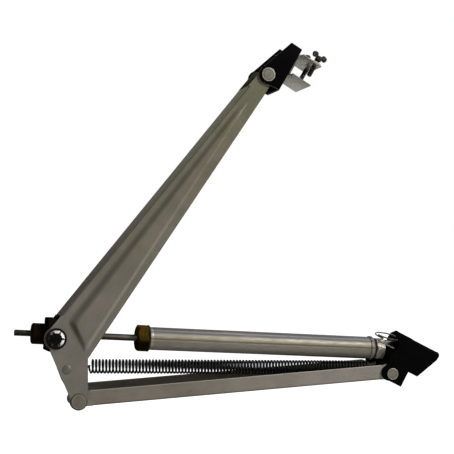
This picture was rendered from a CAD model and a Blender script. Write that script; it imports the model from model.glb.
import math
import bpy
import bmesh
import numpy as np
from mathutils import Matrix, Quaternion, Vector


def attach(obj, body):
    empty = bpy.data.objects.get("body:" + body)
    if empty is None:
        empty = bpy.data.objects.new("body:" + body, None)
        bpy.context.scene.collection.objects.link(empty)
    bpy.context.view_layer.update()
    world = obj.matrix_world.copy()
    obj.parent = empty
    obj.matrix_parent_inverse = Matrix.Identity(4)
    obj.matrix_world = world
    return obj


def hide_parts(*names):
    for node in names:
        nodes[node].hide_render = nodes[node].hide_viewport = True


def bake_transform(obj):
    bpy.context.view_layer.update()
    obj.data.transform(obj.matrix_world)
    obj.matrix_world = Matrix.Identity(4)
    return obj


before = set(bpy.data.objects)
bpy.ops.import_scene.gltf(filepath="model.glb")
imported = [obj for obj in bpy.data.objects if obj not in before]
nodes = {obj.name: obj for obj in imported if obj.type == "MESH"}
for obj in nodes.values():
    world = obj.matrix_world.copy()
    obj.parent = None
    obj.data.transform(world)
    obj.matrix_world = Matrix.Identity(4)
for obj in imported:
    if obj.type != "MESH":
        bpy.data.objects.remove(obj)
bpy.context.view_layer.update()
print("frame loaded:", len(nodes), "nodes")


# local frames: an origin in metres and the tilt of local x, so a piece is written in plain millimetres
def localFrame(origin, degrees):
    a = math.radians(degrees)
    return {"origin": np.array(origin), "along": np.array((math.cos(a), 0, math.sin(a))),
            "up": np.array((-math.sin(a), 0, math.cos(a)))}


pivot = {"frame": (-0.0354373, 0, -0.0294822), "elbow": (-0.3617483, 0, -0.0506982),
         "window": (-0.1730103, 0, 0.2745008), "holder": (-0.0301373, 0, -0.0046822)}
lowerFrame = localFrame(pivot["elbow"], 3.72)
upperFrame = localFrame(pivot["elbow"], 59.87)
windowFrame = localFrame(pivot["window"], 59.9)
bracketFrame = localFrame(pivot["frame"], -25.9)
tubeFrame = localFrame(pivot["holder"], -2.881)
plainFrame = localFrame(pivot["frame"], 0)


# local millimetres to row metres: origin plus x along, y across and z up
def place(local, where):
    p = np.asarray(local, float) / 1000
    return (where["origin"] + p[..., :1] * where["along"] + p[..., 1:2] * np.array((0, 1, 0))
            + p[..., 2:] * where["up"])


# quads between the neighbours of a rows by cols grid, wrapped where the surface closes on itself
def gridFaces(rows, cols, closeRows=False, closeCols=False):
    a, b = np.meshgrid(np.arange(rows if closeRows else rows - 1),
                       np.arange(cols if closeCols else cols - 1), indexing="ij")
    a2, b2 = (a + 1) % rows, (b + 1) % cols
    return np.stack([a * cols + b, a2 * cols + b, a2 * cols + b2, a * cols + b2], -1).reshape(-1, 4)


# several closed surfaces as one list of points and one of faces
def joined(*parts):
    points, faces, start = [], [], 0
    for p, f in parts:
        points.append(np.asarray(p).reshape(-1, 3))
        faces.append(np.asarray(f) + start)
        start += len(points[-1])
    return np.concatenate(points), np.concatenate(faces)


# corners of a profile, each (along, radius, fillet), with every fillet as a short quadratic curve
def filleted(corners, closed=False, steps=5):
    c = np.array([k[:2] for k in corners], float)
    out = []
    for i, k in enumerate(corners):
        f = k[2] if len(k) > 2 else 0
        inside = closed or 0 < i < len(corners) - 1
        if not f or not inside:
            out.append(c[i][None])
            continue
        a, b = c[i - 1] - c[i], c[(i + 1) % len(c)] - c[i]
        la, lb = np.linalg.norm(a), np.linalg.norm(b)
        p, q = c[i] + a / la * min(f, la / 2), c[i] + b / lb * min(f, lb / 2)
        t = np.linspace(0, 1, steps)[:, None]
        out.append((1 - t) ** 2 * p + 2 * t * (1 - t) * c[i] + t * t * q)
    return np.concatenate(out)


# angles of equal shares of a full turn
def turnAngles(steps):
    return np.linspace(0, 2 * np.pi, steps, endpoint=False)


# a profile of (along, radius) carried once round local x or y; closed profiles make rings and tubes
def turned(profile, steps=64, axis="x", at=(0, 0, 0), closed=False):
    p = np.asarray(profile, float)
    a = turnAngles(steps)
    l, r = p[:, :1] + 0 * a, p[:, 1:2]
    c, s = r * np.cos(a), r * np.sin(a)
    grid = {"x": (l, c, s), "y": (c, l, s), "z": (c, s, l)}[axis]
    return np.stack(grid, -1) + np.array(at, float), gridFaces(len(p), steps, closed, True)


# a circle carried along a path: side = tangent x reference, rings scaled down at both ends to round them
def wireAlong(path, radius, sides, reference):
    p = np.asarray(path, float)
    t = np.gradient(p, axis=0)
    t /= np.linalg.norm(t, axis=1)[:, None]
    e = np.array((0, 0.5, 0.87, 1))
    back = (radius * (1 - 0.6 * e))[:, None]
    size = np.concatenate([radius * e, np.full(len(p) - 2, float(radius)), radius * e[::-1]])
    p = np.concatenate([p[0] - t[0] * back, p[1:-1], (p[-1] + t[-1] * back)[::-1]])
    t = np.concatenate([np.repeat(t[:1], 4, 0), t[1:-1], np.repeat(t[-1:], 4, 0)])
    u = np.cross(t, reference)
    u /= np.linalg.norm(u, axis=1)[:, None]
    w = np.cross(t, u)
    a = turnAngles(sides)
    ring = np.cos(a)[:, None] * u[:, None] + np.sin(a)[:, None] * w[:, None]
    return p[:, None] + size[:, None, None] * ring, gridFaces(len(p), sides, False, True)


# two copies of a grid, the second turned over, and a wall along every open edge of the kept faces
def thickSheet(outer, inner, keep):
    rows, cols = outer.shape[:2]
    quads = gridFaces(rows, cols)[keep.reshape(-1)]
    n = rows * cols
    edges = np.concatenate([quads[:, [0, 1]], quads[:, [1, 2]], quads[:, [2, 3]], quads[:, [3, 0]]])
    _, first, count = np.unique(np.sort(edges, 1), axis=0, return_index=True, return_counts=True)
    rim = edges[first[count == 1]]
    walls = np.stack([rim[:, 1], rim[:, 0], rim[:, 0] + n, rim[:, 1] + n], 1)
    points = np.concatenate([outer.reshape(-1, 3), inner.reshape(-1, 3)])
    return points, np.concatenate([quads, quads[:, ::-1] + n, walls])


# mesh from arrays: doubled points merged, so seams and poles close, loose points dropped, faces outward
def makeMesh(name, points, faces):
    mesh = bpy.data.meshes.new(name)
    mesh.from_pydata(np.asarray(points).reshape(-1, 3).tolist(), [], [list(face) for face in faces])
    bm = bmesh.new()
    bm.from_mesh(mesh)
    bmesh.ops.remove_doubles(bm, verts=bm.verts, dist=2e-6)
    bmesh.ops.dissolve_degenerate(bm, edges=bm.edges, dist=1e-7)
    bmesh.ops.delete(bm, geom=[v for v in bm.verts if not v.link_faces], context="VERTS")
    bmesh.ops.recalc_face_normals(bm, faces=bm.faces)
    bm.to_mesh(mesh)
    bm.free()
    return mesh


# an object at the origin that shows a mesh
def newObject(name, mesh):
    obj = bpy.data.objects.new(name, mesh)
    bpy.context.scene.collection.objects.link(obj)
    return obj


# an object from local points: each point goes to its place in row metres
def newPiece(name, points, faces, where):
    return newObject(name, makeMesh(name, place(points, where), faces))


# the mesh becomes what its modifiers make of it
def bakeModifiers(obj):
    graph = bpy.context.evaluated_depsgraph_get()
    graph.update()
    mesh = bpy.data.meshes.new_from_object(obj.evaluated_get(graph))
    obj.modifiers.clear()
    old, obj.data = obj.data, mesh
    bpy.data.meshes.remove(old)


# every edge sharper than 40 degrees rounded in three steps, over a width in millimetres
def bevelEdges(obj, width):
    m = obj.modifiers.new("soft edges", "BEVEL")
    m.material = len(obj.data.materials) - 1
    m.width = width / 1000
    m.segments = 3
    m.limit_method = "ANGLE"
    m.angle_limit = math.radians(40)
    m.miter_outer = "MITER_ARC"
    bakeModifiers(obj)


# holes through a sheet: cylinders along y taken out of it, each given as x, z and radius
def cutHoles(obj, holes, where):
    reach = 60
    parts = []
    for x, z, r in holes:
        p, f = turned(((-reach, 0), (-reach, r), (reach, r), (reach, 0)), 40, "y", (x, 0, z))
        parts.append((place(p, where), f))
    cutter = newObject("holeCutter", makeMesh("holeCutter", *joined(*parts)))
    m = obj.modifiers.new("holes", "BOOLEAN")
    m.object = cutter
    m.operation = "DIFFERENCE"
    m.solver = "EXACT"
    bakeModifiers(obj)
    bpy.data.objects.remove(cutter)


# finish, body, slot and the node a piece stands for; edges steeper than the sharp angle stay hard
def finishPiece(obj, body, key, node=None, sharp=35):
    obj.data.materials.clear()
    obj.data.materials.append(finish[key])
    obj.data.shade_smooth()
    obj.data.set_sharp_from_angle(angle=math.radians(sharp))
    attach(obj, body)
    if node:
        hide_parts(node)


# the CAD outline with softened edges: its flat faces joined again, then every hard edge bevelled
def softened(node, name, width, body, key, slotName, edge=None):
    bm = bmesh.new()
    bm.from_mesh(nodes[node].data)
    bmesh.ops.remove_doubles(bm, verts=bm.verts, dist=1e-5)
    bmesh.ops.dissolve_limit(bm, angle_limit=math.radians(1), verts=bm.verts, edges=bm.edges)
    mesh = bpy.data.meshes.new(name)
    bm.to_mesh(mesh)
    bm.free()
    obj = newObject(name, mesh)
    mesh.materials.clear()
    mesh.polygons.foreach_set("material_index", [0] * len(mesh.polygons))
    if edge:
        mesh.materials.append(finish[key])
        mesh.materials.append(finish[edge])
    bevelEdges(obj, width)
    rubbed = [face.material_index for face in obj.data.polygons]
    finishPiece(obj, body, key, node, 30)
    if edge:
        obj.data.materials.append(finish[edge])
        obj.data.polygons.foreach_set("material_index", rubbed)


# points of a mesh, measured in millimetres from a frame's origin
def localPoints(obj, where):
    p = np.empty(len(obj.data.vertices) * 3)
    obj.data.vertices.foreach_get("co", p)
    return (p.reshape(-1, 3) - where["origin"]) * 1000


# wear at each point of a mesh: below zero dark, above zero pale
def setWear(obj, wear):
    obj.data.attributes.new("wear", "FLOAT", "POINT").data.foreach_set("value", wear)


# materials

# one node in the tree of its first linked input: inputs by name, or by number as i0, i1 and so on
def addNode(kind, settings=None, tree=None, **inputs):
    tree = tree or next(v.id_data for v in inputs.values() if isinstance(v, bpy.types.NodeSocket))
    n = tree.nodes.new(kind)
    for k, v in (settings or {}).items():
        setattr(n, k, v)
    for k, v in inputs.items():
        sock = n.inputs[int(k[1:])] if k[0] == "i" and k[1:].isdigit() else n.inputs[k.replace("_", " ")]
        if isinstance(v, bpy.types.NodeSocket):
            tree.links.new(v, sock)
        else:
            sock.default_value = v
    return n


# one step of arithmetic on up to three numbers
def mathStep(operation, *values):
    inputs = {"i%d" % k: v for k, v in enumerate(values)}
    return addNode("ShaderNodeMath", {"operation": operation}, **inputs).outputs[0]


# one step of arithmetic on vectors; a length or a dot product comes out as a number
def vectorStep(operation, *values):
    inputs = {"i%d" % k: v for k, v in enumerate(values)}
    n = addNode("ShaderNodeVectorMath", {"operation": operation}, **inputs)
    return n.outputs["Value" if operation in ("LENGTH", "DOT_PRODUCT") else "Vector"]


# colour a times one less the share plus colour b times the share, or a times b in the other mode
def mixColour(share, a, b, mode="MIX"):
    a, b = (c + (1,) if isinstance(c, tuple) else c for c in (a, b))
    return addNode("ShaderNodeMix", {"data_type": "RGBA", "blend_type": mode}, i0=share, i6=a, i7=b).outputs[2]


# a value between low and high, eased to a value between a and b
def ramp(value, low, high, a=0.0, b=1.0):
    return addNode("ShaderNodeMapRange", {"interpolation_type": "SMOOTHSTEP"}, Value=value, From_Min=low,
                   From_Max=high, To_Min=a, To_Max=b).outputs[0]


# cloud noise of a place times the scale
def noise(coords, scale, detail=4.0, rough=0.55):
    return addNode("ShaderNodeTexNoise", Vector=coords, Scale=scale, Detail=detail, Roughness=rough).outputs[0]


# a place less the shift, turned about y, times the scale
def turnedCoords(coords, degrees, scale, shift=(0, 0, 0)):
    spun = addNode("ShaderNodeVectorRotate", {"rotation_type": "Y_AXIS"},
                   Vector=vectorStep("SUBTRACT", coords, shift), Angle=math.radians(degrees)).outputs[0]
    return vectorStep("MULTIPLY", spun, scale)


# a new material, its shader and the place on the object
def startFinish(name):
    m = bpy.data.materials.new(name)
    m.use_nodes = True
    tree = m.node_tree
    return m, tree.nodes["Principled BSDF"], addNode("ShaderNodeTexCoord", tree=tree).outputs["Object"]


# colour, roughness and bump linked to the shader, and its plain values set
def endFinish(shader, v, tone, rough, height, depth):
    bump = addNode("ShaderNodeBump", Strength=v.get("bump", 0.12), Distance=depth, Height=height).outputs[0]
    for value, socket in ((tone, "Base Color"), (rough, "Roughness"), (bump, "Normal")):
        shader.id_data.links.new(value, shader.inputs[socket])
    for key, socket in (("metal", "Metallic"), ("specular", "Specular IOR Level"), ("aniso", "Anisotropic")):
        shader.inputs[socket].default_value = v.get(key, 0.0)


# worn metal: cloudy tint, grain drawn along one direction, sparse marks, roughness and bump from the same noises
def wornMetal(name, tint, shade, streak, mark, **v):
    m, shader, coords = startFinish(name)
    grainAt = turnedCoords(coords, v.get("grainTurn", 0), v.get("grainScale", (60, 900, 900)))
    markAt = turnedCoords(coords, v.get("markTurn", 35), v.get("markScale", (90, 420, 420)))
    markFrom = v.get("markFrom", 0.68)
    cloud = noise(coords, v.get("cloudScale", 35), 5)
    grain = noise(grainAt, 1.0, 3, 0.6)
    fine = noise(coords, v.get("fineScale", 900), 2)
    marks = noise(markAt, 1.0, 2, 0.4)
    tone = mixColour(ramp(cloud, 0.35, 0.65), tint, shade)
    tone = mixColour(ramp(grain, 0.3, 0.7, 0, v.get("grainShare", 0.35)), tone, streak)
    tone = mixColour(ramp(marks, markFrom, markFrom + 0.05, 0, v.get("markShare", 0.35)), tone, mark)
    if "wear" in v:
        dark, pale, share = v["wear"]
        wear = addNode("ShaderNodeAttribute", {"attribute_name": "wear"}, m.node_tree).outputs["Fac"]
        tone = mixColour(ramp(wear, 0.0, -1.0, 0, share), tone, dark)
        tone = mixColour(ramp(wear, 0.05, 1.0, 0, share), tone, pale)
    if "fade" in v:
        way, start, stop, colour = v["fade"]
        along = vectorStep("DOT_PRODUCT", coords, way)
        tone = mixColour(ramp(along, start, stop), tone, mixColour(1.0, tone, colour, "MULTIPLY"))
    blend = mathStep("ADD", grain, fine)
    endFinish(shader, v, tone, ramp(blend, 0.6, 1.4, *v["rough"]), blend, 0.0004)
    return m


# drawn tube: the angle round its axis picks long tinted streaks, a stretched noise gives the fine drawn lines
def drawnTube(name, **v):
    m, shader, coords = startFinish(name)
    local = turnedCoords(coords, v["turn"], (1, 1, 1), v["axisPoint"])
    x, y, z = addNode("ShaderNodeSeparateXYZ", Vector=local).outputs
    drawn = noise(vectorStep("MULTIPLY", local, v["lineScale"]), 1.0, 3, 0.6)
    patches = noise(turnedCoords(coords, v["turn"], v["patchScale"]), 1.0, 4, 0.6)
    share = mathStep("FRACT", mathStep("MULTIPLY_ADD", mathStep("ARCTAN2", z, y), 0.5 / math.pi, 1.0))
    bands = addNode("ShaderNodeValToRGB", Fac=share)
    stops = bands.color_ramp.elements
    for i, (at, colour) in enumerate(v["bands"]):
        stop = stops[0] if i == 0 else stops.new(at)
        stop.position, stop.color = at, colour + (1,)
    stops[-1].color = v["bands"][0][1] + (1,)
    tone = mixColour(ramp(drawn, 0.35, 0.7, 0, v["lineShare"]), bands.outputs[0], v["line"])
    tone = mixColour(ramp(patches, 0.5, 0.75, 0, v["patchShare"]), tone, v["patch"])
    level = ramp(x, *v["reach"], *v["level"])
    tone = addNode("ShaderNodeVectorMath", {"operation": "SCALE"}, i0=tone, Scale=level).outputs[0]
    endFinish(shader, v, tone, ramp(drawn, 0.3, 0.7, *v["rough"]), drawn, 0.0003)
    return m


# soft or moulded stuff: slow colour change, fine grain in roughness and bump
def dullStuff(name, tint, shade, scale, fineScale, **v):
    m, shader, coords = startFinish(name)
    tone = mixColour(ramp(noise(coords, scale, 5), 0.35, 0.65), tint, shade)
    fine = noise(coords, fineScale, 3)
    endFinish(shader, v, tone, ramp(fine, 0.3, 0.7, *v["rough"]), fine, 0.0004)
    return m


# spring steel ring: the distance from the block's axis parts the dark rim from the bright rubbed teeth
def starSteel(name, **v):
    m, shader, coords = startFinish(name)
    flat = vectorStep("MULTIPLY", vectorStep("SUBTRACT", coords, v["axisPoint"]), (1, 0, 1))
    away = vectorStep("LENGTH", flat)
    cloud = noise(coords, 320, 4)
    towards = vectorStep("DOT_PRODUCT", vectorStep("NORMALIZE", flat), v["rubbed"])
    tone = mixColour(ramp(towards, -0.4, 0.75), v["dull"], v["tooth"])
    tone = mixColour(ramp(away, *v["rimAt"]), tone, v["rim"])
    tone = mixColour(ramp(away, *v["edgeAt"], 0, 0.7), tone, v["edge"])
    tone = mixColour(ramp(cloud, 0.5, 0.68, 0, 0.6), tone, v["mark"])
    endFinish(shader, v, tone, ramp(cloud, 0.3, 0.7, *v["rough"]), cloud, 0.0003)
    return m


# colours round the tube, by the share of a turn from the far side over the top to the front
tubeBands = (
    (0.0, (0.14, 0.13, 0.115)), (0.12, (0.1, 0.094, 0.084)), (0.24, (0.05, 0.05, 0.055)),
    (0.342, (0.052, 0.05, 0.053)), (0.368, (0.21, 0.205, 0.2)), (0.39, (0.084, 0.084, 0.096)),
    (0.408, (0.112, 0.11, 0.118)), (0.424, (0.26, 0.245, 0.2)), (0.444, (0.32, 0.295, 0.225)),
    (0.47, (0.25, 0.222, 0.165)), (0.497, (0.062, 0.045, 0.026)), (0.513, (0.21, 0.187, 0.145)),
    (0.529, (0.132, 0.12, 0.097)), (0.562, (0.155, 0.142, 0.117)), (0.607, (0.155, 0.142, 0.117)),
    (0.642, (0.146, 0.135, 0.112)), (0.677, (0.09, 0.083, 0.07)), (0.707, (0.014, 0.013, 0.012)),
    (0.76, (0.012, 0.011, 0.01)), (0.82, (0.04, 0.037, 0.033)), (0.92, (0.14, 0.13, 0.115)))

# worn metals: tint, shade, streak and mark, then what differs from the usual; wear is dark, pale and its share
sheet = {"rough": (0.42, 0.58), "metal": 0.06, "grainScale": (40, 1500, 1500), "grainShare": 0.3}
zinc = {"cloudScale": 180, "grainScale": (700, 700, 90), "markScale": (300, 500, 500), "markFrom": 0.66, "bump": 0.16}
finish = {
    "upperSheet": wornMetal(
        "upper arm plated sheet", (0.158, 0.14, 0.118), (0.13, 0.118, 0.094), (0.185, 0.168, 0.142),
        (0.05, 0.045, 0.038), **sheet, grainTurn=59.87, markTurn=100, markShare=0.4, markFrom=0.71,
        wear=((0.034, 0.031, 0.02), (0.56, 0.53, 0.465), 0.85),
        fade=((0.5, 0, 0.866), -0.2, 0.12, (0.84, 0.86, 0.72))),
    "lowerSheet": wornMetal(
        "lower arm plated sheet", (0.2, 0.182, 0.155), (0.165, 0.15, 0.126), (0.235, 0.217, 0.188),
        (0.06, 0.055, 0.045), **sheet, grainTurn=3.72, markTurn=30, markShare=0.25, markFrom=0.72,
        wear=((0.02, 0.018, 0.014), (0.42, 0.4, 0.36), 0.8), fade=((-1, 0, 0), 0.06, 0.33, (0.8, 0.78, 0.74))),
    "blackPaint": wornMetal(
        "black bracket paint", (0.0008, 0.0008, 0.0009), (0.0013, 0.0013, 0.0013), (0.002, 0.002, 0.002),
        (0.018, 0.017, 0.016), rough=(0.36, 0.5), grainShare=0.2, specular=0.008, markShare=0.2, markFrom=0.75,
        fineScale=1400, bump=0.08),
    "blockSteel": wornMetal(
        "blackened block steel", (0.006, 0.0057, 0.0052), (0.004, 0.0039, 0.0037), (0.012, 0.0114, 0.01),
        (0.04, 0.037, 0.032), rough=(0.34, 0.5), grainShare=0.25, markShare=0.25, markFrom=0.72, fineScale=1400,
        bump=0.1),
    "pinSteel": wornMetal(
        "pin steel", (0.088, 0.083, 0.06), (0.058, 0.054, 0.039), (0.132, 0.126, 0.097), (0.045, 0.04, 0.03),
        rough=(0.35, 0.55), metal=0.35, specular=0.3, cloudScale=260, grainScale=(400, 400, 400),
        markScale=(260, 700, 700), markFrom=0.64, bump=0.2, wear=((0.03, 0.027, 0.02), (0.27, 0.26, 0.22), 0.9)),
    "elbowSteel": wornMetal(
        "elbow pin steel", (0.09, 0.084, 0.063), (0.072, 0.066, 0.05), (0.115, 0.108, 0.085), (0.04, 0.036, 0.028),
        rough=(0.4, 0.58), metal=0.3, specular=0.25, cloudScale=200, grainScale=(300, 300, 300),
        markScale=(260, 700, 700), bump=0.18, wear=((0.012, 0.011, 0.009), (0.25, 0.24, 0.2), 0.9)),
    "zincPlate": wornMetal(
        "bright zinc plate", (0.118, 0.114, 0.084), (0.066, 0.063, 0.044), (0.19, 0.186, 0.152),
        (0.035, 0.032, 0.025), **zinc, rough=(0.28, 0.5), metal=0.4, specular=0.2),
    "screwSteel": wornMetal(
        "wing screw steel", (0.014, 0.013, 0.0115), (0.006, 0.0057, 0.005), (0.06, 0.057, 0.05), (0.25, 0.24, 0.22),
        rough=(0.25, 0.42), metal=0.08, specular=0.02, cloudScale=420, grainScale=(600, 600, 600), grainShare=0.5,
        markScale=(500, 500, 500), markFrom=0.6, markShare=0.7),
    "nutPlate": wornMetal(
        "end nut zinc plate", (0.2, 0.19, 0.15), (0.1, 0.095, 0.07), (0.33, 0.32, 0.28), (0.03, 0.027, 0.02),
        **zinc, rough=(0.25, 0.45), metal=0.35, specular=0.15),
    "rubbedEdge": wornMetal(
        "rubbed bracket edge", (0.36, 0.35, 0.33), (0.12, 0.115, 0.11), (0.5, 0.49, 0.47), (0.004, 0.004, 0.004),
        rough=(0.34, 0.5), metal=0.1, specular=0.02, cloudScale=240, grainScale=(300, 300, 300), markFrom=0.6,
        markShare=0.8),
    "lockSteel": starSteel(
        "star lock spring steel", axisPoint=(-0.3842703, 0, 0.0096353), rim=(0.004, 0.0038, 0.0035),
        tooth=(0.85, 0.83, 0.78), dull=(0.01, 0.0096, 0.0088), edge=(0.09, 0.085, 0.075), rubbed=(0.75, 0, 0.5),
        rough=(0.3, 0.45), metal=0.02, specular=0.01, rimAt=(0.0079, 0.0084), edgeAt=(0.0098, 0.0103),
        mark=(0.01, 0.0095, 0.009)),
    "brightWire": wornMetal(
        "bright drawn wire", (0.11, 0.107, 0.1), (0.06, 0.058, 0.055), (0.18, 0.176, 0.17), (0.02, 0.019, 0.018),
        rough=(0.22, 0.38), metal=0.15, specular=0.06, cloudScale=200),
    "springSteel": wornMetal(
        "black spring wire", (0.0038, 0.0038, 0.0038), (0.0065, 0.0062, 0.0058), (0.011, 0.0102, 0.0095),
        (0.04, 0.036, 0.03), rough=(0.3, 0.44), metal=0.03, specular=0.08, cloudScale=300, markFrom=0.7),
    "rodSteel": wornMetal(
        "ground rod steel", (0.08, 0.07, 0.055), (0.032, 0.027, 0.02), (0.165, 0.15, 0.122), (0.025, 0.022, 0.019),
        rough=(0.24, 0.4), metal=0.05, grainTurn=-2.881, grainScale=(30, 1800, 1800),
        wear=((0.008, 0.007, 0.0055), (0.33, 0.29, 0.225), 0.85)),
    "darkBrass": wornMetal(
        "dark knurled brass", (0.0062, 0.0036, 0.0017), (0.009, 0.0055, 0.0026), (0.014, 0.009, 0.0045),
        (0.03, 0.019, 0.009), rough=(0.38, 0.55), metal=0.01, cloudScale=240),
    "brass": wornMetal(
        "gland brass", (0.062, 0.033, 0.004), (0.03, 0.017, 0.0025), (0.11, 0.066, 0.014), (0.006, 0.0045, 0.002),
        rough=(0.24, 0.42), cloudScale=150, grainTurn=-2.881, grainScale=(900, 120, 120), markFrom=0.62,
        markShare=0.5, fade=((0, 0, -1), -0.013, -0.003, (0.14, 0.15, 0.12))),
    "tube": drawnTube(
        "drawn aluminium tube", turn=-2.881, axisPoint=pivot["holder"], bands=tubeBands, line=(0.1, 0.09, 0.075),
        lineShare=0.5, lineScale=(110, 1200, 1200), patch=(0.3, 0.28, 0.24), patchShare=0.3,
        patchScale=(22, 260, 260), rough=(0.4, 0.56), metal=0.15, specular=0.06, aniso=0.4, reach=(-0.25, -0.03),
        level=(1.35, 0.92)),
    "rubber": dullStuff("black rubber", (0.004, 0.004, 0.004), (0.008, 0.0075, 0.0075), 160, 1500,
                        rough=(0.55, 0.75), specular=0.1),
    "bushPlastic": dullStuff("turned bush plastic", (0.6, 0.59, 0.54), (0.52, 0.51, 0.46), 120, 1200,
                             rough=(0.4, 0.55), bump=0.08, specular=0.4),
    "wax": dullStuff("mineral wax", (0.7, 0.62, 0.42), (0.6, 0.52, 0.34), 60, 500,
                     rough=(0.4, 0.6), bump=0.1, specular=0.4),
}
print("finishes made:", len(finish))

dressed = {
    "blackPaint": ("frame_bracket", "cylinder_holder", "holder_pin", "window_bracket"),
    "pinSteel": ("frame_pin", "frame_pin_cap", "elbow_pin_cap", "window_pin", "window_pin_cap"),
    "elbowSteel": ("elbow_pin", "spring_pin"), "lowerSheet": ("lower_arm", "spring_anchor_pin"),
    "upperSheet": ("upper_arm",), "brightWire": ("retaining_clip",), "springSteel": ("tension_spring",),
    "blockSteel": ("trunnion_block",), "lockSteel": ("star_locks",), "rodSteel": ("piston_rod",),
    "darkBrass": ("adjusting_nut",), "tube": ("cylinder_tube",), "brass": ("gland_nut",),
    "rubber": ("gland_washer", "rod_seal", "end_seal_ring"), "bushPlastic": ("guide_bush",), "wax": ("wax_charge",),
    "nutPlate": ("end_nut",), "zincPlate": ("end_stud", "window_clip", "clip_rivets", "clamp_nuts"),
    "screwSteel": ("near_wing_screw", "far_wing_screw")}
for key, names in dressed.items():
    for node in names:
        for s in nodes[node].material_slots:
            s.material = finish[key]
        if not nodes[node].material_slots:
            nodes[node].data.materials.append(finish[key])

# arms: folded channels; a bend's angles, and the shares of the straight run that takes its place past the web
bendTurn = np.radians(np.linspace(15, 90, 6))
bendShare = np.linspace(1 / 6, 1, 6)
quarter = np.radians(np.arange(0, 91, 7.5))
mirror = np.array((1, -1, 1))


# the far side's elbow end drawn in: both directions scaled by the share, eased back to full size along the arm
def slimEnd(side, u, share):
    side = np.array(side)
    side[..., 2] *= np.interp(u, (0, 3, 10), (share, share, 1))[:, None]
    side[..., 0] = np.where(side[..., 0] < 0, side[..., 0] * share, side[..., 0])
    return side


# height of a round lobe above its centre, far below it outside
def lobe(u, centre, r):
    return np.where(np.abs(u - centre) < r, np.sqrt(np.maximum(r * r - (u - centre) ** 2, 0)), -1e3)


# one point for each place along the arm and each step across it
def columns(u, y, n):
    return np.stack(np.broadcast_arrays(u[:, None], y, n), -1)


# bend: a circle of the bend's radius less the depth where the web runs, elsewhere shares of a straight run
def bendRun(v, web, run, depth):
    r = v["bend"] - depth
    across = np.where(web[:, None], -v["half"] + v["bend"] - r * np.cos(bendTurn), -v["half"] + depth)
    return across, np.where(web[:, None], r * np.sin(bendTurn), run[:, None] * bendShare)


# channel: the far side mirrored and drawn in at the elbow; across the web, faces are kept only where it runs
def closeChannel(near, far, u, web, v):
    far = slimEnd([k[:, :-1] * mirror for k in far], u, v["farEnd"])
    outer, inner = (np.concatenate([a, b[:, ::-1]], 1) for a, b in zip(near, far))
    cheekRows = v["rows"] + len(bendTurn)
    col = np.arange(outer.shape[1] - 1)
    inWeb = (col >= cheekRows - 1) & (col < outer.shape[1] - cheekRows)
    return outer, inner, (web[:-1] & web[1:])[:, None] | ~inWeb[None]


# arm: its grid thickened into a sheet, then its holes cut
def armSheet(name, grid, v, where):
    obj = newPiece(name, *thickSheet(*grid), where)
    cutHoles(obj, v["holes"], where)
    return obj


# share of the panel's height: distance inside each foot line over the wall's width there, smallest of the four, eased
def panelShare(u, n, foot, flat):
    foot, flat = np.array(foot), np.array(flat)
    share = []
    for i in range(4):
        a, b = foot[i], foot[(i + 1) % 4]
        d = (b - a) / np.linalg.norm(b - a)
        inward = np.array((d[1], -d[0]))
        wall0, wall1 = (flat[i] - a) @ inward, (flat[(i + 1) % 4] - a) @ inward
        k = np.clip(((u - a[0]) * d[0] + (n - a[1]) * d[1]) / np.linalg.norm(b - a), 0, 1)
        share.append(((u - a[0]) * inward[0] + (n - a[1]) * inward[1]) / (wall0 + (wall1 - wall0) * k))
    soft = -np.log(np.exp(-6 * np.clip(np.stack(share), -2, 3)).sum(0)) / 6
    t = np.clip(soft * 1.05, 0, 1)
    return t * t * (3 - 2 * t)


# upper arm: wide at the crank, with a pressed panel on both sides
upperArm = {
    "half": 17.5, "sheet": 1.5, "length": 376.0, "elbowLobe": 8.5, "crank": (40.88, 49.76), "crankLobe": 11.5,
    "windowLobe": 8.0, "webFrom": 62.5, "webTo": 355.4, "bend": 2.6, "panelHeight": 1.8, "rows": 52,
    "top": ((-8.5, 0), (-2.2, 7.5), (27.6, 48.4), (46.88, 59.56), (62.5, 56.9), (355.4, 11.5), (376, 8), (384, 0)),
    "bottom": ((-8.5, 0), (-6, -5.8), (6.2, -5.8), (11, -4), (39.6, 13.2), (355.2, -7.4), (376, -8), (384, 0)),
    "foot": ((60.3, 50.2), (336, 10), (345, 3), (41, 17.5)),
    "flat": ((63, 38.4), (322, 6.6), (333, 5.4), (51.1, 23)),
    "holes": ((0, 0, 4.55), (40.88, 49.76, 5.55), (376, 0, 4.05), (20.66, 25.6, 2.62)),
    "seam": 0.7, "steepest": 0.56, "farSlim": 0.16, "slimAlong": ((-8.5, 0, 26, 34), (1, 1, 1, 0)), "farEnd": 0.72,
    "webWear": ((10, 13.2, 13.5, 14.05, 14.4, 16.2, 16.74, 17.15, 17.3), (0.7, 0.7, -1, -1, 0.55, 0.6, 0.3, -0.7, 0)),
    "lightLevel": ((60, 120, 250, 316, 326, 340), (0.34, 0.28, 0.17, 0.16, 0.34, 0.4)),
    "darkLevel": ((42, 52, 62, 80, 120, 290), (0.3, 0.6, 1.2, 1.6, 1.25, 0.6)),
    "webLevel": ((90, 190, 290), (0.4, 0.8, 1.2)), "farWall": 15.5, "rimDark": -0.8, "rimWidth": 0.25}


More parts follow.
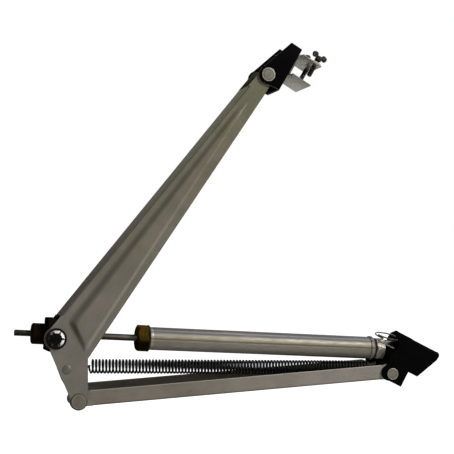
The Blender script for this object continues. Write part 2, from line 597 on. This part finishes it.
# grid: the cheek from its lower edge to the crown, pushed out by the panel, then the bend and half the web
def upperArmGrid(v):
    cu, cn = v["crank"]
    u = np.unique(np.round(np.concatenate([
        -v["elbowLobe"] * np.cos(quarter), np.arange(1.5, 28, 1.6),
        cu - v["crankLobe"] * np.cos(np.radians(np.arange(0, 130, 5))), np.arange(49, 62, 1.6),
        [v["webFrom"] - 0.15], np.arange(v["webFrom"], v["webTo"], 1.7), [v["webTo"], v["webTo"] + 0.15],
        np.arange(357.4, v["length"], 1.6), v["length"] + v["windowLobe"] * np.sin(quarter)]), 3))
    hi, lo = (np.interp(u, *np.transpose(v[k])) for k in ("top", "bottom"))
    for c, r, z in ((0, v["elbowLobe"], 0), (cu, v["crankLobe"], cn), (v["length"], v["windowLobe"], 0)):
        hi = np.maximum(hi, z + lobe(u, c, r))
        if z == 0:
            lo = np.minimum(lo, -lobe(u, c, r))
    web = (u >= v["webFrom"]) & (u <= v["webTo"])
    b, h, t = v["bend"], v["half"], v["sheet"]
    crown = np.where(web, hi - b, hi - np.minimum(b, (hi - lo) * 0.2))
    n = lo[:, None] + np.linspace(0, 1, v["rows"]) * (crown - lo)[:, None]
    out = v["panelHeight"] * panelShare(u[:, None] + 0 * n, n, v["foot"], v["flat"])
    webY = np.append(-h + b + np.array((0.5, 0.9, 1.3, 1.7, 4)), 0)
    seam = v["seam"] * np.array((0, -1, -1, 0, 0, 0))
    near = []
    for depth in (0, t):
        across, rise = bendRun(v, web, hi - crown, depth)
        near.append(np.concatenate([
            columns(u, -h - out + depth, n), columns(u, across, crown[:, None] + rise),
            columns(u, webY, hi[:, None] + (-t if depth else seam))], 1))
    low, slim = lo[:, None], (1 - v["farSlim"] * np.interp(u, *v["slimAlong"]))[:, None]
    far = [np.stack([k[..., 0], k[..., 1], low + (k[..., 2] - low) * slim], -1) for k in near]
    return closeChannel(near, far, u, web, v)


# wear: how steeply the pressed sheet rises across and along the arm, over the steepest wall, and a share on the web
def upperArmWear(obj, v, where):
    p = localPoints(obj, where)
    u, n, side = p @ where["along"], p @ where["up"], np.abs(p[:, 1])
    step, cheek = 0.4, side > v["half"] - 0.2
    rise = lambda a, b: v["panelHeight"] * panelShare(a, b, v["foot"], v["flat"])
    across = rise(u, n + step) - rise(u, n - step)
    along = rise(u + step, n) - rise(u - step, n)
    wear = np.clip((across - 1.1 * along) / (2 * step) / v["steepest"], -1, 1)
    wear = wear * np.where(wear > 0, np.interp(u, *v["lightLevel"]), np.interp(u, *v["darkLevel"]))
    web = np.interp(side, *v["webWear"])
    web = np.where(web > 0, web * np.interp(u, *v["webLevel"]), web)
    wear = np.where(cheek, wear, np.where(p[:, 1] > v["farWall"], v["rimDark"], web))
    low, high = (np.interp(u, *np.transpose(v[k])) for k in ("bottom", "top"))
    rim = (n - low < v["rimWidth"]) | ((high - n < v["rimWidth"]) & (u < v["webFrom"]))
    rim |= (np.hypot(u, n) > 5.7) & (u < 0) & (p[:, 1] > 0)
    setWear(obj, np.where(rim & cheek & (u < v["length"] - 9), v["rimDark"], wear))


upper = armSheet("upperArm", upperArmGrid(upperArm), upperArm, upperFrame)
upperArmWear(upper, upperArm, upperFrame)
finishPiece(upper, "upper_arm", "upperSheet", "upper_arm", 50)
print("upper arm:", len(upper.data.polygons), "faces")

# lower arm: open at the top, its near side lower than its far side
lowerArm = {
    "half": 15.6, "sheet": 1.5, "length": 327.0, "bottom": -5.2, "near": 9.6, "far": 14.4, "elbowLobe": 8.5,
    "frameLobe": 7.0, "farEnd": 0.72, "webFrom": 14.0, "webTo": 315.0, "bend": 2.6, "rows": 14,
    "holes": ((0, 0, 4.52), (327, 0, 4.05), (311, 5.4, 2.22)), "worn": (12, 316), "innerWall": (13.9, 14.3)}


# grid: each cheek from its upper edge down to the bend, then the bend and half the web
def lowerArmGrid(v):
    length, e, f = v["length"], v["elbowLobe"], v["frameLobe"]
    u = np.unique(np.round(np.concatenate([
        -e * np.cos(quarter), np.arange(1.5, 14, 1.6), [3, 9, v["webFrom"] - 0.15],
        np.arange(v["webFrom"], v["webTo"], 2.4), [v["webTo"], v["webTo"] + 0.15], np.arange(316.5, length, 1.4),
        length + f * np.sin(quarter)]), 3))
    web = (u >= v["webFrom"]) & (u <= v["webTo"])
    lobes = np.maximum(lobe(u, 0, e), lobe(u, length, f))
    lo = np.minimum(np.interp(u, (-e, 0, length, length + f), (0, v["bottom"], v["bottom"], 0)), -lobes)
    b, h, t = v["bend"], v["half"], v["sheet"]
    sides = []
    for top in (v["near"], v["far"]):
        hi = np.interp(u, (-e, 0, 3, 9, 308, 316, length - 9, length - 4, length, length + f),
                       (0, e, v["near"], top, top, v["near"], v["near"], v["near"] + 1.4, f, 0))
        hi = np.maximum(hi, lobes)
        floor = lo + np.where(web, b, np.minimum(b, (hi - lo) * 0.2))
        n = floor[:, None] + np.linspace(1, 0, v["rows"]) * (hi - floor)[:, None]
        runs = [bendRun(v, web, floor - lo, depth) for depth in (0, t)]
        sides.append([np.concatenate([
            columns(u, -h + depth, n), columns(u, across, floor[:, None] - drop),
            columns(u, np.array((-h + b + 3, 0)), lo[:, None] + depth)], 1)
            for depth, (across, drop) in zip((0, t), runs)])
    return closeChannel(*sides, u, web, v)


# wear: pale along the upper edges, dark towards the bends, a little pale inside the far wall near the elbow
def lowerArmWear(obj, v, where):
    p = localPoints(obj, where)
    u, n, y = p @ where["along"], p @ where["up"], p[:, 1]
    edge = np.interp(n - np.where(y < 0, v["near"], v["far"]), (-0.5, -0.1), (0, 1))
    wear = edge + np.interp(n - v["bottom"], (0.2, 1.6), (-1, 0))
    wear = np.where((u > v["worn"][0]) & (u < v["worn"][1]), wear, 0)
    inside = (y > v["innerWall"][0]) & (y < v["innerWall"][1]) & (n < v["far"] - 0.5)
    wear += np.where(inside, np.interp(u, (60, 220), (0.25, 0)), 0)
    setWear(obj, np.clip(wear, -1, 1))


lower = armSheet("lowerArm", lowerArmGrid(lowerArm), lowerArm, lowerFrame)
lowerArmWear(lower, lowerArm, lowerFrame)
finishPiece(lower, "lower_arm", "lowerSheet", "lower_arm", 50)
print("lower arm:", len(lower.data.polygons), "faces")

# brackets, holder, block and clip keep the CAD outline, with softened edges
for row in (("frame_bracket", "frameBracket", 0.45, "frame", "blackPaint", "black_steel"),
            ("window_bracket", "windowBracket", 0.6, "window", "blackPaint", "black_steel", "rubbedEdge"),
            ("cylinder_holder", "cylinderHolder", 0.6, "lower_arm", "blackPaint", "black_steel"),
            ("trunnion_block", "trunnionBlock", 0.5, "block", "blockSteel", "black_steel"),
            ("window_clip", "windowClip", 0.3, "window", "zincPlate", "zinc_steel"),
            ("clamp_nuts", "clampNuts", 0.45, "window", "zincPlate", "zinc_steel"),
            ("end_stud", "endStud", 0.4, "cylinder", "zincPlate", "zinc_steel"),
            ("holder_pin", "holderPin", 0.4, "lower_arm", "blackPaint", "black_steel")):
    softened(*row)

# far plate: the bracket's far side is wider than its strap, up to the clip and along the arm
farPlate = {"outline": ((-16, 5), (-15.5, 14.5), (0, 18.5), (6.5, 23), (7.2, 29), (10.2, 36.6), (13.5, 40.6),
                        (17, 41.4), (19.4, 43.4), (30, 36.4), (30, 8), (8, -5.5), (-6, -5.5)),
            "y0": 15.82, "y1": 17.76, "fillet": 1.5, "holes": ((0, 0, 4.02),), "bevel": 0.3}
v = farPlate
ring = filleted(tuple(c + (v["fillet"],) for c in v["outline"]), True)
k = len(ring)
p = np.concatenate([np.insert(ring, 1, v["y0"], 1), np.insert(ring, 1, v["y1"], 1)])
f = [range(k), range(2 * k - 1, k - 1, -1)] + [((i + 1) % k, i, k + i, k + (i + 1) % k) for i in range(k)]
plate = newPiece("farPlate", p, f, plainFrame)
cutHoles(plate, v["holes"], plainFrame)
bevelEdges(plate, v["bevel"])
finishPiece(plate, "frame", "blackPaint")

pivotLug = {"at": (-3.6, 0, -0.6), "r": 8.2, "y0": -17.78, "y1": -15.76}
v = pivotLug
profile = filleted(((v["y0"], 0), (v["y0"], v["r"], 0.5), (v["y1"], v["r"], 0.3), (v["y1"], 0)))
lug = newPiece("pivotLug", *turned(profile, 56, "y", v["at"]), bracketFrame)
finishPiece(lug, "frame", "blackPaint")
print("brackets softened")

# pins: a shank and a crowned head in front, turned round y; wear by the share of the head's radius
paleRim = ((0, 0.5, 0.68, 0.76, 0.84, 0.92, 1), (0.1, 0.3, 0, -0.5, 0.1, 0.9, 0.3))
darkRim = ((0, 0.7, 0.82, 0.9, 0.97, 1), (0.1, 0.05, 0.5, 0.1, -0.9, -1))
crownSteps = ((0.1, 0.35), (0.2, 0.55), (0.35, 0.68), (0.5, 0.76), (0.6, 0.84))
pins = {
    "elbowPin": {"node": "elbow_pin", "body": "lower_arm", "where": lowerFrame, "shank": 4.5, "to": 20.7, "head": 7.8,
                 "face": -17.52, "height": 1.5, "crown": 0.25, "edge": 0.5, "finish": "elbowSteel", "wear": darkRim},
    "framePin": {"node": "frame_pin", "body": "frame", "where": bracketFrame, "shank": 4.0, "to": 20.8, "head": 6.0,
                 "face": -17.82, "height": 1.5, "crown": 0.3, "edge": 0.6, "finish": "pinSteel", "wear": paleRim},
    "windowPin": {"node": "window_pin", "body": "window", "where": windowFrame, "shank": 4.0, "to": 22.7, "head": 7.0,
                  "face": -19.72, "height": 1.5, "crown": 0.3, "edge": 0.6, "finish": "pinSteel", "wear": paleRim},
}


# wear on a pin's head: read from a table by the distance from its axis, in shares of the head's radius
def ringWear(obj, where, v):
    p = localPoints(obj, where)
    share = np.hypot(p @ where["along"], p @ where["up"]) / v["head"]
    setWear(obj, np.where(p[:, 1] < v["face"] + 0.05, np.interp(share, *v["wear"]), 0))


for name, v in pins.items():
    front = v["face"] - v["height"]
    crown = tuple((front + v["crown"] * a, v["head"] * b) for a, b in crownSteps)
    profile = filleted(((front, 0),) + crown + (
        (front + v["crown"], v["head"], v["edge"]), (v["face"], v["head"], 0.2), (v["face"], v["shank"], 0.1),
        (v["to"], v["shank"], 0.4), (v["to"], 0)))
    pin = newPiece(name, *turned(profile, 72, "y"), v["where"])
    ringWear(pin, v["where"], v)
    finishPiece(pin, v["body"], v["finish"], v["node"])

caps = {
    "elbowPinCap": ("elbow_pin_cap", "lower_arm", lowerFrame, 4.52, 17.52, 20.72, 6.2),
    "framePinCap": ("frame_pin_cap", "frame", bracketFrame, 4.02, 17.82, 20.82, 7.0),
    "windowPinCap": ("window_pin_cap", "window", windowFrame, 4.02, 19.72, 22.72, 7.0),
}
for name, (node, body, where, bore, y0, floor, r) in caps.items():
    profile = filleted(((floor, 0), (floor, bore), (y0, bore, 0.2), (y0, r, 0.3), (y0 + 0.7, r, 0.4),
                        (y0 + 0.9, r - 0.7, 0.3), (floor + 0.7, r - 0.9, 0.9), (floor + 1.0, 0)))
    finishPiece(newPiece(name, *turned(profile, 64, "y"), where), body, "pinSteel", node)


# turn of two coordinates: the first times the cosine less the second times the sine, and the reverse with a sum
def spin(points, i, j, degrees):
    p = np.array(points, float)
    c, s = math.cos(math.radians(degrees)), math.sin(math.radians(degrees))
    p[..., i], p[..., j] = p[..., i] * c - p[..., j] * s, p[..., i] * s + p[..., j] * c
    return p


springPin = {"r": 32.9, "degrees": 51.1, "shank": 2.6, "face": 17.52,
             "head": ((0, 1.2), (1.6, 1.1), (3.6, 0.75), (4.8, 0))}
v = springPin
dome = [(v["face"] + rise, r) for r, rise in v["head"]]
dome[-1] += (0.15,)
profile = filleted([(-k[0],) + k[1:] for k in dome] + [(-v["face"], v["shank"]), (v["face"], v["shank"])] + dome[::-1])
rivet = newPiece("springPin", *turned(profile, 56, "y", spin((v["r"], 0, 0), 0, 2, v["degrees"])), upperFrame)
finishPiece(rivet, "upper_arm", "elbowSteel", "spring_pin")
print("pins and caps turned")

# cylinder: tube with a rolled lip, gland nut, washers and end nut, all turned round the tube's axis
tube = {"mouth": -260.3, "end": -21.3, "outer": 11.4, "inner": 10.0, "lip": 12.3, "floor": 2.0, "stud": 4.02,
        "groove": 0.18}
v = tube
m, e, r = v["mouth"], v["end"], v["outer"]
profile = filleted((
    (m, v["inner"], 0.2), (m, r, 0.5), (m + 2.4, r), (m + 2.7, r - v["groove"]), (m + 3.1, r - v["groove"]),
    (m + 3.4, r), (e - 5.2, r), (e - 4.7, r - 0.25, 0.3), (e - 4.3, v["lip"], 0.7), (e - 1.2, v["lip"], 0.9),
    (e, r - 0.5, 0.5), (e, v["stud"]), (e - v["floor"], v["stud"]), (e - v["floor"], v["inner"])), True)
shell = newPiece("cylinderTube", *turned(profile, 128, "x", closed=True), tubeFrame)
finishPiece(shell, "cylinder", "tube", "cylinder_tube")


# hexagon nut: radius = the smaller of the rounded hexagon at that angle and the chamfer cone at that length
def hexNut(x0, x1, flats, chamfer0, chamfer1, bore, turn, steps=240):
    a = turnAngles(steps)
    k = np.mod(a - math.radians(turn) + np.pi / 6, np.pi / 3) - np.pi / 6
    hexR = np.minimum(flats / 2 / np.cos(k), flats / 2 / math.cos(math.pi / 6) - 0.25)
    x = np.concatenate([np.linspace(x0, x0 + 2.2, 10), np.linspace(x1 - 2.2, x1, 10)])
    cone = np.minimum(chamfer0 + (x - x0) * 1.7, chamfer1 + (x1 - x) * 1.7)
    r = np.minimum(hexR, cone[:, None])
    r = np.concatenate([np.full((1, steps), bore), r, np.full((1, steps), bore)])
    x = np.concatenate([[x0], x, [x1]])[:, None] + 0 * a
    return np.stack([x, -r * np.cos(a), r * np.sin(a)], -1), gridFaces(len(r), steps, True, True)


glandNut = {"x0": -272.7, "x1": -262.22, "flats": 24.0, "chamfer0": 11.3, "chamfer1": 12.6, "bore": 3.25, "turn": 21}
endNut = {"x0": -18.98, "x1": -9.6, "flats": 20.6, "chamfer0": 10.2, "chamfer1": 9.9, "bore": 4.02, "turn": 30}
for name, node, v, key, slotName in (("glandNut", "gland_nut", glandNut, "brass", "brass"),
                                     ("endNut", "end_nut", endNut, "nutPlate", "zinc_steel")):
    finishPiece(newPiece(name, *hexNut(**v), tubeFrame), "cylinder", key, node, 20)

rings = {"glandWasher": ("gland_washer", -262.2, -260.32, 13.2, 8.02),
         "endSealRing": ("end_seal_ring", -21.28, -19.0, 10.4, 4.02)}
for name, (node, x0, x1, r, bore) in rings.items():
    profile = filleted(((x0, bore, 0.2), (x0, r, 0.7), (x1, r, 0.7), (x1, bore, 0.2)), True)
    washer = newPiece(name, *turned(profile, 96, "x", closed=True), tubeFrame)
    finishPiece(washer, "cylinder", "rubber", node)
print("cylinder turned")


# screw thread: radius = outer minus depth times a ridge wave of the length over the pitch less the share of a turn
def threaded(x0, x1, r, pitch, depth, steps=40, perPitch=8, chamfer=0.6):
    a = turnAngles(steps)
    x = np.linspace(x0, x1, int((x1 - x0) / pitch * perPitch))[:, None]
    wave = np.abs(np.mod(x / pitch - a / (2 * np.pi), 1) * 2 - 1)
    radius = np.minimum(r - depth * np.clip(wave * 1.4 - 0.2, 0, 1), r - chamfer + x - x0)
    return x + 0 * a, radius, a


# wear: by the cosine of the angle from the side, so the rod is pale along its middle and dark along its edges
def rodWear(obj, v, where):
    p = localPoints(obj, where)
    height = p @ where["up"]
    facing = np.abs(0.3 * height - 0.95 * p[:, 1]) / np.maximum(np.hypot(height, p[:, 1]), 0.1)
    wear = np.interp(facing, (0.6, 0.85, 0.97), (-0.9, -0.3, 0.45))
    setWear(obj, np.where(p @ where["along"] < v["threadTo"], np.interp(facing, (0.9, 1), (-1, -0.3)), wear))


pistonRod = {"tip": -392.405, "threadTo": -340.0, "end": -150.0, "r": 3.2, "pitch": 1.0, "depth": 0.5}
v = pistonRod
x, r, a = threaded(v["tip"], v["threadTo"], v["r"], v["pitch"], v["depth"])
tailX = np.array((v["threadTo"] + 0.6, v["threadTo"] + 1.2, v["end"] - 0.6, v["end"], v["end"]))[:, None] + 0 * a
tailR = np.array((v["r"] - v["depth"], v["r"], v["r"], v["r"] - 0.5, 0))[:, None] + 0 * a
x = np.concatenate([x[:1], x, tailX])
r = np.concatenate([0 * r[:1], r, tailR])
p = np.stack([x, r * np.cos(a), r * np.sin(a)], -1)
rod = newPiece("pistonRod", p, gridFaces(len(x), len(a), False, True), tubeFrame)
rodWear(rod, v, tubeFrame)
finishPiece(rod, "rod", "rodSteel", "piston_rod", 45)

# adjusting nut: radius = outer minus the depth of two crossed ridge waves, so diamonds stand between the grooves
adjustingNut = {"x0": -376.005, "x1": -362.405, "r": 10.2, "bore": 3.25, "teeth": 44, "lead": 4.6, "depth": 0.45,
                "chamfer": 1.1, "face": ((0, 3.25), (0, 6.2), (0.5, 6.5), (0.5, 7.6), (0, 7.9), (0, 9.0)), "rim": 9.0}
v = adjustingNut
a = turnAngles(v["teeth"] * 6)
x = np.linspace(v["x0"] + v["chamfer"], v["x1"] - v["chamfer"], 60)[:, None]
mid = (v["x0"] + v["x1"]) / 2
share, run = v["teeth"] * a / (2 * np.pi), (x - mid) / v["lead"] * 2
one, two = (np.abs(np.mod(k, 1) * 2 - 1) for k in (share + run, share - run))
r = v["r"] - v["depth"] * np.clip(1.6 * np.maximum(one, two) - 0.8, 0, 1)
face = np.array(v["face"]) + (v["x0"], 0)
back = np.array(((v["x1"], v["rim"]), (v["x1"], v["bore"])))
x = np.concatenate([face[:, :1] + 0 * a, x + 0 * a, back[:, :1] + 0 * a])
r = np.concatenate([face[:, 1:] + 0 * a, r, back[:, 1:] + 0 * a])
p = np.stack([x, r * np.cos(a), r * np.sin(a)], -1)
nut = newPiece("adjustingNut", p, gridFaces(len(x), len(a), True, True), tubeFrame)
finishPiece(nut, "nut", "darkBrass", "adjusting_nut", 30)
print("rod threaded, nut knurled")

# star locks: a flat rim and six teeth bent outwards, each tooth a patch that narrows to its slit
starLock = {"rim": 10.4, "slit": 8.4, "tip": 5.55, "face": 17.52, "sheet": 0.7, "rise": 0.9, "gap": 13.0,
            "block": (-354.405, 0, -3.5)}


# rings of falling radius, lifted towards the tip; each tooth takes 60 degrees less the slit's gap at that radius
def starGrid(v):
    rho = np.array((v["rim"], v["rim"] - 0.15, v["rim"] - 0.6, 9.2, v["slit"], 7.8, 7.2, 6.6, 6.0, v["tip"]))
    lift = np.interp(rho, (v["tip"], v["slit"] - 0.2, 9.0, v["rim"]), (v["rise"], 0.12, 0, 0))
    half = 30 - np.clip((v["slit"] - rho) / (v["slit"] - v["tip"]), 0, 1) ** 0.8 * v["gap"]
    part = np.linspace(-1, 1, 13)
    turn = np.radians(np.arange(6)[:, None, None] * 60 + 30 + half[None, :, None] * part)
    turn = np.moveaxis(turn, 1, 0).reshape(len(rho), -1)
    out = np.stack([rho[:, None] * np.cos(turn), -v["face"] - v["sheet"] - lift[:, None] + 0 * turn,
                    rho[:, None] * np.sin(turn)], -1)
    out = np.concatenate([out, out[:, :1]], 1)
    keep = np.ones((len(rho) - 1, out.shape[1] - 1), bool)
    keep[4:, 12::13] = False
    return out, out + np.array((0, v["sheet"], 0)), keep


p, f = thickSheet(*starGrid(starLock))
p = p + np.array(starLock["block"])
locks = newPiece("starLocks", *joined((p, f), (p * mirror, f[:, ::-1])), tubeFrame)
finishPiece(locks, "block", "lockSteel", "star_locks", 40)
print("star locks pressed")

# tension spring: a wire carried round a helix whose axis runs between the two hooks
spring = {"x0": -312.585, "z0": 11.2, "x1": -21.5, "z1": 5.8, "coil": 6.3, "wire": 1.02, "turns": 87, "steps": 22,
          "sides": 8, "pinR": 32.9, "pinTurn": 110.97, "anchor": (311, 0, 5.4), "tilt": 3.72,
          "nearHook": (3.6, -20, 275), "farHook": (3.2, 200, -95), "hookSides": 10, "blend": (0.004, 0.06)}


# hook: most of a circle round a pin, then an eased run to the coil's first point
def hookPath(centre, radius, first, last, end):
    a = np.radians(np.linspace(first, last, 22))
    loop = centre + radius * np.stack([np.cos(a), 0 * a, np.sin(a)], -1)
    t = np.linspace(0.08, 1, 12)[:, None]
    lead = loop[-1] - loop[-2]
    lead /= np.linalg.norm(lead)
    reach = np.linalg.norm(end - loop[-1])
    run = loop[-1] + lead * reach * 0.6 * t * (1 - t) + (end - loop[-1]) * t * t * (3 - 2 * t)
    return np.concatenate([loop, run])


v = spring
k = np.linspace(0, 1, v["turns"] * v["steps"] + 1)
a = 2 * np.pi * v["turns"] * k
helix = np.stack([v["x0"] + (v["x1"] - v["x0"]) * k, v["coil"] * np.cos(a),
                  v["z0"] + (v["z1"] - v["z0"]) * k - v["coil"] * np.sin(a)], -1)
elbowLocal = (np.array(pivot["elbow"]) - np.array(pivot["frame"])) * 1000
pinAt = elbowLocal + spin((v["pinR"], 0, 0), 0, 2, v["pinTurn"])
anchorAt = elbowLocal + spin(v["anchor"], 0, 2, v["tilt"])
wires = [wireAlong(helix, v["wire"], v["sides"], (1, 0, 0))]
for centre, hook, end in ((pinAt, v["nearHook"], helix[0]), (anchorAt, v["farHook"], helix[-1])):
    wires.append(wireAlong(hookPath(centre, *hook, end), v["wire"], v["hookSides"], (0, 1, 0.02)))
springPiece = newPiece("tensionSpring", *joined(*wires), plainFrame)
springPiece.data.materials.append(finish["springSteel"])
springPiece.data.shade_smooth()
start, end = (tuple(place(pinAt, plainFrame) + np.array((reach, 0, 0))) for reach in v["blend"])
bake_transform(springPiece)
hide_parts("tension_spring")
print("spring wound:", len(springPiece.data.polygons), "faces")

# retaining clip: one wire, straight through the holder pin, then round in an open ring
clip = {"wire": 0.75, "fall": -25.7, "back": -21.4, "tip": 5.0, "ring": 13.0, "from": 225, "turn": -385, "climb": 1.6,
        "centre": (2, 0, 37.2), "roll": 10.0, "lean": 14.0, "holder": (5.3, -14.65, 24.8), "ease": 1.2, "steps": 90}
v = clip
legTip, legEnd = (np.array(v["holder"]) + spin((v[k], 0, 0), 0, 2, v["fall"]) for k in ("tip", "back"))
a = np.radians(np.linspace(v["from"], v["from"] + v["turn"], v["steps"]))
flat = np.stack([v["ring"] * np.cos(a), v["ring"] * np.sin(a), np.linspace(0, v["climb"], v["steps"])], -1)
ringPath = np.array(v["centre"]) + spin(spin(flat, 1, 2, v["lean"]), 2, 0, v["roll"])
leg = legTip + (legEnd - legTip) * np.linspace(0, 1, 24)[:, None]
t = np.linspace(0, 1, 14)[1:-1, None]
d0, d1 = (k / np.linalg.norm(k) for k in (legEnd - legTip, ringPath[1] - ringPath[0]))
reach = np.linalg.norm(ringPath[0] - legEnd) * v["ease"]
turn = ((2 * t ** 3 - 3 * t ** 2 + 1) * legEnd + (t ** 3 - 2 * t ** 2 + t) * d0 * reach
        + (-2 * t ** 3 + 3 * t ** 2) * ringPath[0] + (t ** 3 - t ** 2) * d1 * reach)
path = np.concatenate([leg, turn, ringPath])
clipPiece = newPiece("retainingClip", *wireAlong(path, v["wire"], 12, (0.29, -0.24, 0.93)), plainFrame)
finishPiece(clipPiece, "lower_arm", "brightWire", "retaining_clip", 60)
print("clip bent")

# wing screws: a threaded stud, a turned boss and two flattened wings
wingScrew = {"from": 24.8, "boss": 43.6, "bossR": 3.6, "bossH": 5.0, "r": 2.5, "pitch": 0.8, "depth": 0.35, "z": -38.8,
             "y": 12.0, "wing": (3.3, 1.0, 3.1), "reach": 5.2, "rise": 5.0, "tilt": 18.0, "rows": 17, "cols": 32}


# wing: a flattened ball whose section squares off towards its rim, leaned away from the boss
def wingShell(v, side):
    a, b = np.meshgrid(np.linspace(-np.pi / 2, np.pi / 2, v["rows"]), turnAngles(v["cols"]), indexing="ij")
    power = lambda k, e: np.sign(k) * np.abs(k) ** e
    round8 = power(np.cos(a), 0.8)
    local = np.stack([round8 * power(np.cos(b), 0.8), power(np.sin(a), 0.5), round8 * power(np.sin(b), 0.8)], -1)
    local = spin(local * v["wing"], 2, 0, v["tilt"] * side)
    return local + np.array((side * v["reach"], 0, v["boss"] + v["rise"])), gridFaces(v["rows"], v["cols"], False, True)


v = wingScrew
x, r, a = threaded(v["from"], v["boss"] + 0.6, v["r"], v["pitch"], v["depth"], 32)
x, r = np.concatenate([x[:1], x, x[-1:]]), np.concatenate([0 * r[:1], r, 0 * r[-1:]])
stud = (np.stack([r * np.cos(a), r * np.sin(a), x], -1), gridFaces(len(x), len(a), False, True))
top = v["boss"] + v["bossH"]
boss = turned(filleted(((v["boss"], 0), (v["boss"], v["bossR"], 0.5), (top, v["bossR"] - 0.4, 1.0), (top, 0))), 40, "z")
p, f = joined(stud, boss, wingShell(v, -1), wingShell(v, 1))
for name, node, body, side in (("nearWingScrew", "near_wing_screw", "near_screw", -1),
                               ("farWingScrew", "far_wing_screw", "far_screw", 1)):
    stood = np.stack([p[:, 2], p[:, 1] + side * v["y"], -p[:, 0] + v["z"]], -1)
    finishPiece(newPiece(name, stood, f, windowFrame), body, "screwSteel", node, 45)
print("wing screws made")

# rivets that hold the clip: crowned heads on both sides
rivets = {"s": 25.6, "y": 9.0, "r": 2.5, "head": 4.2, "height": 1.2, "outside": -19.84, "inside": -16.38}
v = rivets
o, i, h = v["outside"], v["inside"], v["height"]
profile = filleted(((o - h, 0), (o - h * 0.8, v["head"] * 0.5), (o, v["head"], 0.2), (o, v["r"]), (i, v["r"]),
                    (i, v["head"], 0.2), (i + h * 0.8, v["head"] * 0.5), (i + h, 0)))
pair = joined(*(turned(profile, 40, "z", (v["s"], side * v["y"], 0)) for side in (-1, 1)))
finishPiece(newPiece("clipRivets", *pair, windowFrame), "window", "zincPlate", "clip_rivets")
print("rivets set")

# floor, light and camera
stage = {"floorZ": -0.30, "size": 60.0, "white": 1.0, "worldLevel": 0.13, "floorGlow": (0.6, 1.0),
         "glowReach": (0.6, 1.3)}


# one for rays from the camera, from gloss and through glass, zero for all others
def seenRays(tree):
    path = addNode("ShaderNodeLightPath", tree=tree).outputs
    seen = mathStep("MAXIMUM", path["Is Camera Ray"], path["Is Transmission Ray"])
    return mathStep("MAXIMUM", seen, path["Is Glossy Ray"])


# pale floor: what the camera and mirror-like metal see is white, other light meets an ordinary pale surface
def paleFloor():
    m, shader, coords = startFinish("pale floor")
    tone = mixColour(noise(coords, 3.0), (0.8, 0.8, 0.8), (0.78, 0.78, 0.78))
    glow = ramp(vectorStep("LENGTH", coords), *stage["glowReach"], *stage["floorGlow"])
    m.node_tree.links.new(tone, shader.inputs["Base Color"])
    m.node_tree.links.new(mathStep("MULTIPLY", seenRays(m.node_tree), glow), shader.inputs["Emission Strength"])
    shader.inputs["Emission Color"].default_value = (1, 1, 1, 1)
    shader.inputs["Roughness"].default_value = 0.9
    shader.inputs["Specular IOR Level"].default_value = 0.0
    return m


half = stage["size"] / 2
floorMesh = bpy.data.meshes.new("floor")
corners = [(x * half, y * half, stage["floorZ"]) for x, y in ((-1, -1), (1, -1), (1, 1), (-1, 1))]
floorMesh.from_pydata(corners, [], [(0, 1, 2, 3)])
floorObj = newObject("floor", floorMesh)
floorMesh.materials.append(paleFloor())

world = bpy.data.worlds.new("studio")
bpy.context.scene.world = world
world.use_nodes = True
tree = world.node_tree
tree.nodes.clear()
soft, white = (addNode("ShaderNodeBackground", tree=tree, Color=(1, 1, 1, 1), Strength=stage[k]).outputs[0]
               for k in ("worldLevel", "white"))
mixed = addNode("ShaderNodeMixShader", Fac=seenRays(tree), i1=soft, i2=white).outputs[0]
addNode("ShaderNodeOutputWorld", Surface=mixed)

camera = {"at": (-0.55407, -1.1806, 0.07548), "target": (-0.20978, 0, 0.12023), "lens": 96.317, "roll": 0.00707,
          "sensor": 36.0, "near": 0.05, "far": 100}
lamps = {"key": ((0.95, -0.95, 1.05), 37.0, 0.45), "fill": ((-0.4, -1.9, 0.3), 3.5, 1.2),
         "top": ((0.35, 0.3, 1.5), 6.0, 0.6), "back": ((0.1, 1.9, 0.1), 15.0, 1.2)}


# turn that points -Z from a spot to the camera's target
def aimFrom(spot):
    return (Vector(camera["target"]) - Vector(spot)).to_track_quat("-Z", "Y")


for name, (spot, power, size) in lamps.items():
    data = bpy.data.lights.new(name, "AREA")
    data.energy, data.size = power, size
    lamp = newObject(name, data)
    lamp.location = spot
    lamp.rotation_euler = aimFrom(spot).to_euler()
    lamp.visible_glossy = name != "back"

camData = bpy.data.cameras.new("photoCamera")
camData.lens, camData.sensor_width = camera["lens"], camera["sensor"]
camData.clip_start, camData.clip_end = camera["near"], camera["far"]
cam = newObject("photoCamera", camData)
cam.location = camera["at"]
cam.rotation_euler = (aimFrom(camera["at"]) @ Quaternion((0, 0, 1), camera["roll"])).to_euler()
bpy.context.scene.camera = cam
bpy.context.scene.view_settings.view_transform = "Standard"
print("stage set")
